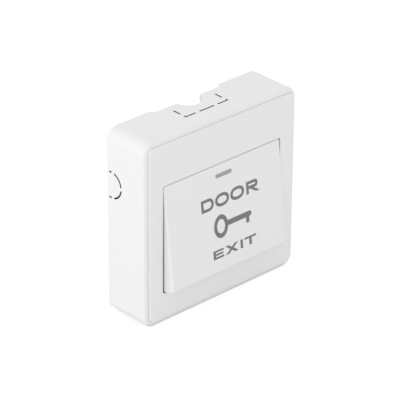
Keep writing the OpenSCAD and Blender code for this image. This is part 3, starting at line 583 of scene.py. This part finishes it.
class Finishes:
    """All finishes of the exit button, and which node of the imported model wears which."""

    WHITE: Colour = (0.837, 0.838, 0.843)
    WORN_BY: dict[str, str] = {
        "back_box": "box_white",
        "face_plate": "plate_white",
        "press_plate": "press_white",
        "indicator_lens": "lens_grey",
        "mounting_frame": "frame_charcoal",
        "thread_inserts": "turned_brass",
        "frame_screws": "zinc_steel",
        "board_screws": "zinc_steel",
        "clamp_screws": "zinc_steel",
        "return_springs": "spring_wire",
        "circuit_board": "board_green",
        "switch_base": "switch_black",
        "switch_cover": "switch_grey",
        "switch_plunger": "plunger_red",
        "snap_blade": "contact_bronze",
        "common_terminal": "tinned_brass",
        "normally_open_terminal": "tinned_brass",
        "normally_closed_terminal": "tinned_brass",
        "terminal_block": "block_green",
        "wire_clamps": "nickel_plate",
        "solder_pins": "solder_tin",
        "lamp": "lamp_green",
        "lamp_legs": "solder_tin",
        "chip_resistor": "part_black",
        "protection_diode": "part_black",
    }

    def __init__(self) -> None:
        """Builds the shared groups and every material."""
        groups = ShaderGroups()
        made = [
            MouldedPlastic("box_white", self.WHITE, roughness=0.45, outer=True, painted_shade_colour=(0.012, 0.012, 0.013),
                           painted_shade_upper=1.0, painted_shade_lower=1.0),
            MouldedPlastic("plate_white", self.WHITE, roughness=0.4, depth=0.003, outer=True, painted_shade_lower=0.1),
            MouldedPlastic("press_white", self.WHITE, roughness=0.36, depth=0.003, outer=True,
                           painted_shade_upper=0.15, painted_shade_lower=0.85),
            MouldedPlastic("frame_charcoal", srgb(58, -0.02), roughness=0.55, depth=0.006),
            MouldedPlastic("switch_black", srgb(38), roughness=0.5, mottle=0.1),
            MouldedPlastic("switch_grey", srgb(92, 0.02), roughness=0.5, mottle=0.08),
            MouldedPlastic("plunger_red", (0.42, 0.03, 0.025), roughness=0.35),
            MouldedPlastic("block_green", (0.045, 0.24, 0.1), roughness=0.42, mottle=0.08),
            MouldedPlastic("part_black", srgb(34), roughness=0.6, mottle=0.15),
            TintedLens("lens_grey", srgb(161)),
            TintedLens("lamp_green", (0.2, 0.5, 0.22), roughness=0.12),
            PrintedInk("print_grey", srgb(121)),
            WorkedMetal("zinc_steel", (0.62, 0.63, 0.65), roughness=0.34, stretch=(1.0, 0.15, 1.0)),
            WorkedMetal("spring_wire", (0.55, 0.55, 0.56), roughness=0.28, lines=2200.0),
            WorkedMetal("turned_brass", (0.72, 0.52, 0.22), roughness=0.3, stretch=(0.2, 1.0, 0.2)),
            WorkedMetal("contact_bronze", (0.7, 0.44, 0.22), roughness=0.26, stretch=(0.1, 1.0, 1.0)),
            WorkedMetal("tinned_brass", (0.7, 0.68, 0.6), roughness=0.32),
            WorkedMetal("nickel_plate", (0.66, 0.63, 0.58), roughness=0.25),
            WorkedMetal("solder_tin", (0.68, 0.69, 0.7), roughness=0.22, lines=500.0,
                        stretch=(1.0, 1.0, 1.0)),
            BoardLaminate("board_green", (0.012, 0.13, 0.05), (0.45, 0.4, 0.22)),
            BoardLaminate("track_green", (0.05, 0.26, 0.075), (0.6, 0.42, 0.2)),
        ]
        self.materials = {finish.name: finish.build(groups) for finish in made}

    def dress(self, nodes: dict[str, bpy.types.Object]) -> None:
        """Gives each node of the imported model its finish.

        Args:
            nodes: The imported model's objects by node name.
        """
        for name, node in nodes.items():
            finish = self.materials[self.WORN_BY[name]]
            node.data.materials.clear()
            node.data.materials.append(finish)
            LOG.info("dressed %s in %s", name, finish.name)


class Draft:
    """A bmesh drawn in millimetres that becomes one piece of the scene."""

    CORNER_STEPS = 10
    RING_STEPS = 64

    def __init__(self, name: str) -> None:
        """Starts an empty piece.

        Args:
            name: Name of the piece.
        """
        self.name = name
        self.mesh = bmesh.new()

    def polygon(self, points: list[tuple[float, float]]) -> list[bmesh.types.BMFace]:
        """Draws a flat face through corner points.

        Args:
            points: Corners, x across and y up.

        Returns:
            The new face, in a list.
        """
        return [self.mesh.faces.new([self.mesh.verts.new((x, y, 0.0)) for x, y in points])]

    def bar(self, left: float, low: float, right: float, high: float) -> list[bmesh.types.BMFace]:
        """Draws a flat rectangle.

        Args:
            left: Left edge.
            low: Lower edge.
            right: Right edge.
            high: Upper edge.

        Returns:
            The new face, in a list.
        """
        return self.polygon([(left, low), (right, low), (right, high), (left, high)])

    def soften(self, faces: list[bmesh.types.BMFace], corners: list[int], radius: float) -> None:
        """Rounds some corners of a flat face.

        Args:
            faces: The face, in a list.
            corners: Places of the corners in the order they were drawn.
            radius: Rounding of each.
        """
        verts = [faces[0].verts[place] for place in corners]
        bmesh.ops.bevel(self.mesh, geom=verts, offset=radius, affect="VERTICES", segments=self.CORNER_STEPS,
                        profile=0.5, material=-1)

    def ring(self, centre: tuple[float, float], outer: tuple[float, float],
             inner: tuple[float, float], squareness: float = 2.0) -> None:
        """Draws a flat ring between two ovals.

        Args:
            centre: Middle of both ovals.
            outer: Half width and half height of the outer oval.
            inner: Half width and half height of the inner oval.
            squareness: Power of the ovals: 2 is an ellipse, more is squarer.
        """
        edges = []
        for half_w, half_h in (outer, inner):
            made = bmesh.ops.create_circle(self.mesh, cap_ends=False, radius=1.0,
                                           segments=self.RING_STEPS)["verts"]
            for vert in made:
                x, y = vert.co.x, vert.co.y
                reach = (abs(x) ** squareness + abs(y) ** squareness) ** (-1 / squareness)
                vert.co = Vector((centre[0] + x * reach * half_w, centre[1] + y * reach * half_h, 0))
            edges += list({edge for vert in made for edge in vert.link_edges})
        bmesh.ops.bridge_loops(self.mesh, edges=edges)

    def thicken(self, height: float) -> None:
        """Gives every flat face drawn so far a thickness.

        Args:
            height: How far the top rises over the drawing plane.
        """
        bmesh.ops.recalc_face_normals(self.mesh, faces=self.mesh.faces[:])
        for face in self.mesh.faces:
            if face.normal.z < 0:
                face.normal_flip()
        made = bmesh.ops.extrude_face_region(self.mesh, geom=self.mesh.faces[:])["geom"]
        top = [part for part in made if isinstance(part, bmesh.types.BMVert)]
        bmesh.ops.translate(self.mesh, verts=top, vec=(0.0, 0.0, height))

    def finish(self, place: Matrix, material: bpy.types.Material, body: Body, slot: Slot) -> bpy.types.Object:
        """Turns the draft into a piece that rides on a body.

        Args:
            place: Where the drawing lies, in millimetres.
            material: Its finish.
            body: The body that it moves with.
            slot: The record's slot of its finish; not used.

        Returns:
            The piece.
        """
        bmesh.ops.transform(self.mesh, matrix=Matrix.Scale(MM, 4) @ place, verts=self.mesh.verts[:])
        bmesh.ops.recalc_face_normals(self.mesh, faces=self.mesh.faces[:])
        data = bpy.data.meshes.new(self.name)
        self.mesh.to_mesh(data)
        self.mesh.free()
        data.materials.append(material)
        piece = bpy.data.objects.new(self.name, data)
        bpy.context.scene.collection.objects.link(piece)
        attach(piece, body.value)
        LOG.info("built %s, %d faces", self.name, len(data.polygons))
        return piece


@dataclass
class PressPrint:
    """The grey print on the press plate: the word DOOR, a plain key and the word EXIT.

    Places across are measured from the middle of the plate, feet and the key's height down from its top edge, and
    the parts of the key up from its middle. A bar is given by its left, lower, right and upper edge.
    """

    finishes: Finishes
    top_z: float = 21.5
    top_y: float = 23.6
    lean: float = 6.8
    ink: float = 0.03
    door_foot: float = 18.85
    door_height: float = 5.7
    door_stroke: float = 1.35
    d_left: float = -13.8
    d_wide: float = 7.1
    d_round: float = 2.8
    o_middles: tuple[float, float] = (-1.95, 6.75)
    o_half: float = 3.95
    o_past: float = 0.1
    o_squareness: float = 2.25
    r_left: float = 12.0
    r_wide: float = 7.6
    key_down: float = 27.6
    bow_at: tuple[float, float] = (-3.63, -0.15)
    bow_outer: tuple[float, float] = (3.98, 5.3)
    bow_inner: tuple[float, float] = (2.25, 3.2)
    shaft_bar: tuple[float, float, float, float] = (0.2, -1.12, 13.95, 1.34)
    shaft_round: float = 1.2
    bit_bar: tuple[float, float, float, float] = (10.65, -3.8, 12.55, -1.12)
    bit_round: float = 0.8
    exit_foot: float = 41.75
    exit_height: float = 4.0
    exit_stem: float = 1.4
    exit_bar: float = 0.88
    e_left: float = -9.1
    e_right: float = -3.2
    e_tongue: float = -3.5
    x_left: float = -2.2
    x_right: float = 5.2
    i_middle: float = 7.2
    t_left: float = 8.9
    t_middle: float = 12.3
    t_right: float = 15.7

    def plane(self) -> Matrix:
        """Where the print lies: x across, y up the leaning front from its top edge, z out of it.

        Returns:
            The place in millimetres.
        """
        lean = math.radians(self.lean)
        across = Vector((1, 0, 0))
        up = Vector((0, math.sin(lean), math.cos(lean)))
        out = across.cross(up)
        place = Matrix((across, up, out)).transposed().to_4x4()
        place.translation = Vector((0, -self.top_y, self.top_z))
        return place

    def build(self) -> None:
        """Draws the words and the key."""
        ink = self.finishes.materials["print_grey"]
        for draft in (self.door(), self.key(), self.exit()):
            draft.thicken(self.ink)
            draft.finish(self.plane(), ink, Body.PRESS, Slot.PRINT)

    def door(self) -> Draft:
        """Draws the upper word.

        Returns:
            The draft of the word.
        """
        draft = Draft("print_door")
        foot, high, stroke = -self.door_foot, self.door_height, self.door_stroke
        self._bowl(draft, self.d_left, foot, self.d_wide, high, stroke, self.d_round)
        half_high = high / 2 + self.o_past
        for middle in self.o_middles:
            draft.ring((middle, foot + high / 2), (self.o_half, half_high),
                       (self.o_half - stroke, half_high - stroke), self.o_squareness)
        self._letter_r(draft, self.r_left, foot, self.r_wide, high, stroke)
        return draft

    @staticmethod
    def _bowl(draft: Draft, left: float, foot: float, wide: float, high: float, stroke: float,
              radius: float) -> None:
        """Draws a frame whose right corners are round, as in a D and in the head of an R.

        Args:
            draft: The word.
            left: Left edge.
            foot: Lower edge.
            wide: Width.
            high: Height.
            stroke: Width of the stroke.
            radius: Rounding of the right corners.
        """
        others = set(draft.mesh.faces)
        draft.soften(draft.bar(left, foot, left + wide, foot + high), [1, 2], radius)
        head = [face for face in draft.mesh.faces if face not in others]
        bmesh.ops.inset_region(draft.mesh, faces=head, thickness=stroke, use_even_offset=True,
                               use_boundary=True)
        bmesh.ops.delete(draft.mesh, geom=head, context="FACES")

    def _letter_r(self, draft: Draft, left: float, foot: float, wide: float, high: float,
                  stroke: float) -> None:
        """Draws an R: its head, the foot of its stem and its leg.

        Args:
            draft: The word.
            left: Left edge.
            foot: Lower edge.
            wide: Width.
            high: Height.
            stroke: Width of the stroke.
        """
        head_high, head_wide = 0.62 * high, 0.87 * wide
        waist, right = foot + high - head_high, left + wide
        knee = left + 0.56 * wide
        self._bowl(draft, left, waist, head_wide, head_high, stroke, 0.45 * head_high)
        draft.bar(left, foot, left + stroke, waist)
        draft.polygon([(knee, waist), (knee - 1.5 * stroke, waist), (right - 1.55 * stroke, foot),
                       (right, foot)])

    def key(self) -> Draft:
        """Draws the key: an oval bow, a shaft with a round end and one bit.

        Returns:
            The draft of the key.
        """
        draft = Draft("print_key")
        middle = -self.key_down
        draft.ring((self.bow_at[0], middle + self.bow_at[1]), self.bow_outer, self.bow_inner)
        for (left, low, right, high), corners, radius in (
                (self.shaft_bar, [1, 2], self.shaft_round), (self.bit_bar, [0, 1], self.bit_round)):
            draft.soften(draft.bar(left, middle + low, right, middle + high), corners, radius)
        return draft

    def exit(self) -> Draft:
        """Draws the lower word.

        Returns:
            The draft of the word.
        """
        draft = Draft("print_exit")
        foot, stem, bar = -self.exit_foot, self.exit_stem, self.exit_bar
        top, middle = foot + self.exit_height, foot + self.exit_height / 2
        left, right, inside = self.e_left, self.e_right, self.e_left + stem
        draft.polygon([(left, foot), (right, foot), (right, foot + bar), (inside, foot + bar),
                       (inside, middle - bar / 2), (self.e_tongue, middle - bar / 2),
                       (self.e_tongue, middle + bar / 2), (inside, middle + bar / 2),
                       (inside, top - bar), (right, top - bar), (right, top), (left, top)])
        self._letter_x(draft, self.x_left, self.x_right, foot, top, 1.4 * stem)
        draft.bar(self.i_middle - stem / 2, foot, self.i_middle + stem / 2, top)
        left, right = self.t_middle - stem / 2, self.t_middle + stem / 2
        draft.polygon([(left, foot), (right, foot), (right, top - bar), (self.t_right, top - bar),
                       (self.t_right, top), (self.t_left, top), (self.t_left, top - bar), (left, top - bar)])
        return draft

    @staticmethod
    def _letter_x(draft: Draft, left: float, right: float, foot: float, top: float, cut: float) -> None:
        """Draws an X as one outline of two crossing strokes.

        Args:
            draft: The word.
            left: Left edge.
            right: Right edge.
            foot: Lower edge.
            top: Upper edge.
            cut: Width of a stroke where it meets the edge.
        """
        middle, waist = (left + right) / 2, (foot + top) / 2
        slope = (top - foot) / (right - left - cut)
        nick_x, nick_y = cut / 2, slope * cut / 2
        draft.polygon([
            (left, foot), (left + cut, foot), (middle, waist - nick_y), (right - cut, foot), (right, foot),
            (middle + nick_x, waist), (right, top), (right - cut, top), (middle, waist + nick_y),
            (left + cut, top), (left, top), (middle - nick_x, waist)])


@dataclass
class BoardDetail:
    """What the circuit board carries besides its parts: pads, tracks and solder behind, tinned ends in front."""

    finishes: Finishes
    back_y: float = -5.4
    front_y: float = -7.0
    pin_down: float = -20.6
    pin_pitch: float = 5.08
    pin_r: float = 0.5
    pin_pad: float = 1.25
    tail_y: float = -4.0
    lamp_z: float = 16.535
    lamp_pitch: float = 2.54
    leg_r: float = 0.25
    leg_pad: float = 0.85
    switch_z: float = -1.7
    switch_x: tuple[float, ...] = (-5.8, 2.6, 11.0)
    switch_r: float = 0.55
    switch_pad: float = 1.3
    copper: float = 0.035
    track_half: float = 0.55
    lane_z: float = 10.5
    resistor_at: tuple[float, float] = (-12.0, 10.535)
    resistor_size: Triple = (3.2, 1.6, 0.6)
    diode_at: tuple[float, float] = (12.0, 10.535)
    diode_size: Triple = (4.4, 1.5, 0.9)
    cap: float = 0.45
    cap_end: float = 0.05
    cap_skin: float = 0.03
    joints: list[tuple[float, float, float, float]] = field(init=False)

    def __post_init__(self) -> None:
        """Lists the solder joints: place across, place up, radius of the pin and of the pad."""
        self.joints = [(way * self.pin_pitch, self.pin_down, self.pin_r, self.pin_pad) for way in (-1, 0, 1)]
        self.joints += [(side * self.lamp_pitch / 2, self.lamp_z, self.leg_r, self.leg_pad)
                        for side in (-1, 1)]
        self.joints += [(x, self.switch_z, self.switch_r, self.switch_pad) for x in self.switch_x]

    def build(self) -> None:
        """Builds the pads, the solder, the tracks and the tinned ends."""
        self.solder()
        self.tracks()
        self.tinned_ends()

    def _back(self) -> Matrix:
        """Plane of the board's back: x across, y up, z towards the wall.

        Returns:
            The place in millimetres.
        """
        place = Matrix(((-1, 0, 0), (0, 0, 1), (0, 1, 0))).to_4x4()
        place.translation = Vector((0, self.back_y, 0))
        return place

    def solder(self) -> None:
        """Builds a hollow-sided solder cone on its pad round each tail."""
        draft = Draft("solder_joints")
        rise = self.tail_y - self.back_y
        for x, up, pin, pad in self.joints:
            profile = [(pad, 0.0), (pad, self.copper), (0.8 * pad, 0.1 * rise),
                       (0.55 * (pad + pin), 0.22 * rise), (pin + 0.12, 0.5 * rise),
                       (pin + 0.05, 0.78 * rise), (pin, 0.8 * rise)]
            verts = [draft.mesh.verts.new((-x + radius, up, height)) for radius, height in profile]
            edges = [draft.mesh.edges.new(pair) for pair in zip(verts, verts[1:])]
            bmesh.ops.spin(draft.mesh, geom=verts + edges, cent=(-x, up, 0), axis=(0, 0, 1), angle=math.tau,
                           steps=28, use_merge=True)
        bmesh.ops.remove_doubles(draft.mesh, verts=draft.mesh.verts[:], dist=0.001)
        piece = draft.finish(self._back(), self.finishes.materials["solder_tin"], Body.BASE, Slot.METAL)
        for face in piece.data.polygons:
            face.use_smooth = True

    def tracks(self) -> None:
        """Builds the lacquered copper tracks that show as low ridges on the board's back."""
        draft = Draft("board_tracks")
        pins = [(way * self.pin_pitch, self.pin_down) for way in (-1, 0, 1)]
        legs = [(side * self.lamp_pitch / 2, self.lamp_z) for side in (-1, 1)]
        lugs = [(x, self.switch_z) for x in self.switch_x]
        routes = [
            [pins[0], (pins[0][0], -12.0), (lugs[0][0], -10.0), lugs[0]],
            [pins[1], (pins[1][0], -9.0), (lugs[1][0], -6.4), lugs[1]],
            [pins[2], (pins[2][0], -13.0), (lugs[2][0], -7.1), lugs[2]],
            [legs[1], (6.5, self.lane_z), (13.9, self.lane_z), (15.4, 9.0), (15.4, -3.0), lugs[2]],
            [legs[0], (-6.5, self.lane_z), (-11.0, self.lane_z), (-13.6, 7.9), (-13.6, -8.0),
             (pins[0][0], -16.5)],
        ]
        for route in routes:
            self._track(draft, [Vector((-x, up, 0)) for x, up in route], self.track_half)
        draft.thicken(self.copper)
        draft.finish(self._back(), self.finishes.materials["track_green"], Body.BASE, Slot.BOARD)

    @staticmethod
    def _track(draft: Draft, route: list[Vector], half: float) -> None:
        """Draws one flat track with mitred corners.

        Args:
            draft: The tracks.
            route: Its corner points.
            half: Half its width.
        """
        rows = []
        for place, point in enumerate(route):
            before = (point - route[place - 1]).normalized() if place else None
            after = (route[place + 1] - point).normalized() if place + 1 < len(route) else None
            along = ((before or after) + (after or before)).normalized()
            side = Vector((-along.y, along.x, 0))
            square = Vector((-(after or before).y, (after or before).x, 0))
            reach = side * (half / max(0.5, side.dot(square)))
            rows.append([draft.mesh.verts.new(point + reach), draft.mesh.verts.new(point - reach)])
        for first, second in zip(rows, rows[1:]):
            draft.mesh.faces.new([first[0], first[1], second[1], second[0]])

    def tinned_ends(self) -> None:
        """Builds the tinned caps of the two small parts on the board's front."""
        draft = Draft("tinned_ends")
        skin = 2 * self.cap_skin
        for centre, size in ((self.resistor_at, self.resistor_size), (self.diode_at, self.diode_size)):
            for side in (-1, 1):
                made = bmesh.ops.create_cube(draft.mesh, size=1.0)["verts"]
                bmesh.ops.scale(draft.mesh, vec=(self.cap, size[1] + skin, size[2] + skin), verts=made)
                across = centre[0] + side * (size[0] / 2 - self.cap / 2 + self.cap_end)
                bmesh.ops.translate(draft.mesh, vec=(across, centre[1], size[2] / 2 + self.cap_skin), verts=made)
        bmesh.ops.bevel(draft.mesh, geom=draft.mesh.edges[:], offset=skin, affect="EDGES", segments=2,
                        profile=0.5, material=-1)
        place = Matrix(((1, 0, 0), (0, 0, -1), (0, 1, 0))).to_4x4()
        place.translation = Vector((0, self.front_y, 0))
        draft.finish(place, self.finishes.materials["solder_tin"], Body.BASE, Slot.METAL)


@dataclass
class ReturnSprings:
    """The two coiled springs behind the foot of the press plate, which shorten as it goes in."""

    finishes: Finishes
    seat: float = 12.5
    out: float = 24.0
    down: float = 19.7
    coil: float = 3.2
    wire: float = 0.3
    turns: float = 5.5
    length: float = 9.3
    pressed: float = 0.65
    wire_steps: int = 12
    turn_steps: int = 36

    def build(self) -> None:
        """Winds both springs and hides the imported ones."""
        draft = Draft("coiled_springs")
        for side in (-1.0, 1.0):
            self._wind(draft, side * self.out)
        for face in draft.mesh.faces:
            face.smooth = True
        place = Matrix.Rotation(math.radians(90.0), 4, "X")
        piece = draft.finish(place, self.finishes.materials["spring_wire"], Body.BASE, Slot.SPRINGS)
        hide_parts("return_springs")
        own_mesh(piece)

    def _wind(self, draft: Draft, across: float) -> None:
        """Winds one spring with flat end turns, standing on its seat.

        Args:
            draft: The drawing.
            across: Distance of its axis from the middle of the button.
        """
        stand = Matrix.Translation((across + self.coil, -self.down, self.seat + self.wire))
        made = bmesh.ops.create_circle(draft.mesh, cap_ends=True, radius=self.wire, segments=self.wire_steps,
                                       matrix=stand @ Matrix.Rotation(math.radians(90.0), 4, "X"))["verts"]
        end = list({edge for vert in made for edge in vert.link_edges}) + made
        climb = self.length - 6 * self.wire
        for turns, rise in ((1.0, 2 * self.wire), (self.turns - 2, climb), (1.0, 2 * self.wire)):
            steps = round(turns * self.turn_steps)
            end = bmesh.ops.spin(draft.mesh, geom=end, cent=(across, -self.down, 0.0), axis=(0.0, 0.0, 1.0),
                                 dvec=(0.0, 0.0, rise / steps), angle=math.radians(360.0 * turns),
                                 steps=steps, use_duplicate=False)["geom_last"]
        edges = [part for part in end if isinstance(part, bmesh.types.BMEdge)]
        bmesh.ops.edgenet_fill(draft.mesh, edges=edges)


@dataclass
class Studio:
    """Pale floor, soft lamps and the camera."""

    floor_z: float = -43.05
    camera_at: Triple = (-675.8, -736.78, 531.32)
    right: Triple = (0.73458, -0.6785, 0.00601)
    up: Triple = (0.31713, 0.35114, 0.88098)
    back: Triple = (-0.59986, -0.64524, 0.47311)
    lens: float = 239.29
    sensor: float = 36.0
    sky: float = 0.87
    floor_half: float = 3000.0
    floor_paint: float = 245.0
    floor_glow: float = 0.86
    floor_shadow: float = 120.0

    def build(self) -> None:
        """Sets up the floor, the sky, the lamps and the camera."""
        self.floor()
        self.world()
        self.lamp("key", place=(-930, 260, 170), size=760, power=2.35, tint=(0.98, 0.972, 1.0))
        self.lamp("fill", place=(-650, -800, 640), size=700, power=1.15, tint=(1.0, 1.0, 1.0))
        self.camera()
        bpy.context.scene.view_settings.view_transform = "Standard"

    def floor(self) -> None:
        """Lays the pale floor, which shows as white to the camera and keeps a faint shadow."""
        mesh = bmesh.new()
        bmesh.ops.create_grid(mesh, x_segments=1, y_segments=1, size=self.floor_half * MM,
                              matrix=Matrix.Translation((0, 0, self.floor_z * MM)))
        data = bpy.data.meshes.new("floor")
        mesh.to_mesh(data)
        mesh.free()
        floor = bpy.data.objects.new("floor", data)
        bpy.context.scene.collection.objects.link(floor)
        material, sheet = new_material("pale_floor")
        paint = sheet.add("ShaderNodeBsdfDiffuse", Color=srgb(self.floor_paint)).outputs["BSDF"]
        glow = sheet.add("ShaderNodeEmission", Color=(1.0, 1.0, 1.0), Strength=self.floor_glow)
        faint = sheet.add("ShaderNodeBsdfDiffuse", Color=srgb(self.floor_shadow)).outputs["BSDF"]
        seen = sheet.add("ShaderNodeAddShader")
        sheet.tree.links.new(glow.outputs["Emission"], seen.inputs[0])
        sheet.tree.links.new(faint, seen.inputs[1])
        ray = sheet.add("ShaderNodeLightPath").outputs["Is Camera Ray"]
        both = sheet.add("ShaderNodeMixShader", Fac=ray)
        sheet.tree.links.new(paint, both.inputs[1])
        sheet.tree.links.new(seen.outputs[0], both.inputs[2])
        close_material(sheet, both.outputs[0])
        data.materials.append(material)

    def world(self) -> None:
        """Makes the even sky, which shows as white to the camera and in reflections."""
        world = bpy.data.worlds.new("studio")
        bpy.context.scene.world = world
        world.use_nodes = True
        sheet = NodeSheet(world.node_tree)
        path = sheet.add("ShaderNodeLightPath")
        shown = sheet.maths("MAXIMUM", path.outputs["Is Camera Ray"],
                            sheet.maths("MAXIMUM", path.outputs["Is Glossy Ray"],
                                        path.outputs["Is Transmission Ray"]))
        strength = sheet.maths("MULTIPLY_ADD", shown, 1.0 - self.sky, self.sky)
        sky = sheet.add("ShaderNodeBackground", Color=(1.0, 1.0, 1.0), Strength=strength)
        sheet.add("ShaderNodeOutputWorld", Surface=sky.outputs["Background"])

    @staticmethod
    def lamp(name: str, place: Triple, size: float, power: float, tint: Colour) -> None:
        """Hangs a square soft lamp that points at the button.

        Args:
            name: Name of the lamp.
            place: Its place in millimetres.
            size: Side of its square in millimetres.
            power: Its power in watts.
            tint: Its colour.
        """
        light = bpy.data.lights.new(name, "AREA")
        light.size = size * MM
        light.energy = power
        light.color = tint
        lamp = bpy.data.objects.new(name, light)
        lamp.location = Vector(place) * MM
        lamp.rotation_euler = Vector(place).to_track_quat("Z", "Y").to_euler()
        bpy.context.scene.collection.objects.link(lamp)

    def camera(self) -> None:
        """Puts the camera where the photograph was taken from."""
        data = bpy.data.cameras.new("camera")
        data.lens = self.lens
        data.sensor_width = self.sensor
        data.sensor_fit = "HORIZONTAL"
        camera = bpy.data.objects.new("camera", data)
        turn = Matrix((self.right, self.up, self.back)).transposed()
        camera.matrix_world = Matrix.Translation(Vector(self.camera_at) * MM) @ turn.to_4x4()
        bpy.context.scene.collection.objects.link(camera)
        bpy.context.scene.camera = camera


def main(nodes: dict[str, bpy.types.Object]) -> None:
    """Builds the studio and every piece.

    Args:
        nodes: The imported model's objects by node name.
    """
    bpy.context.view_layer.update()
    Studio().build()
    finishes = Finishes()
    finishes.dress(nodes)
    PressPrint(finishes).build()
    BoardDetail(finishes).build()
    ReturnSprings(finishes).build()


logging.basicConfig(level=logging.INFO, format="%(name)s: %(message)s")
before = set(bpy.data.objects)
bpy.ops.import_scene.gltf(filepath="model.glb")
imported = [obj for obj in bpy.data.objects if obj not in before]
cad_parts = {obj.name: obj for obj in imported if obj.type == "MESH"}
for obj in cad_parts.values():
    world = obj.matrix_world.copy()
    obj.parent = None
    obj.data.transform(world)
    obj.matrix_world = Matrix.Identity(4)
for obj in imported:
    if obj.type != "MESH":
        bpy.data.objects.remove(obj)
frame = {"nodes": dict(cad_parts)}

if __name__ == "__main__":
    main(frame["nodes"])
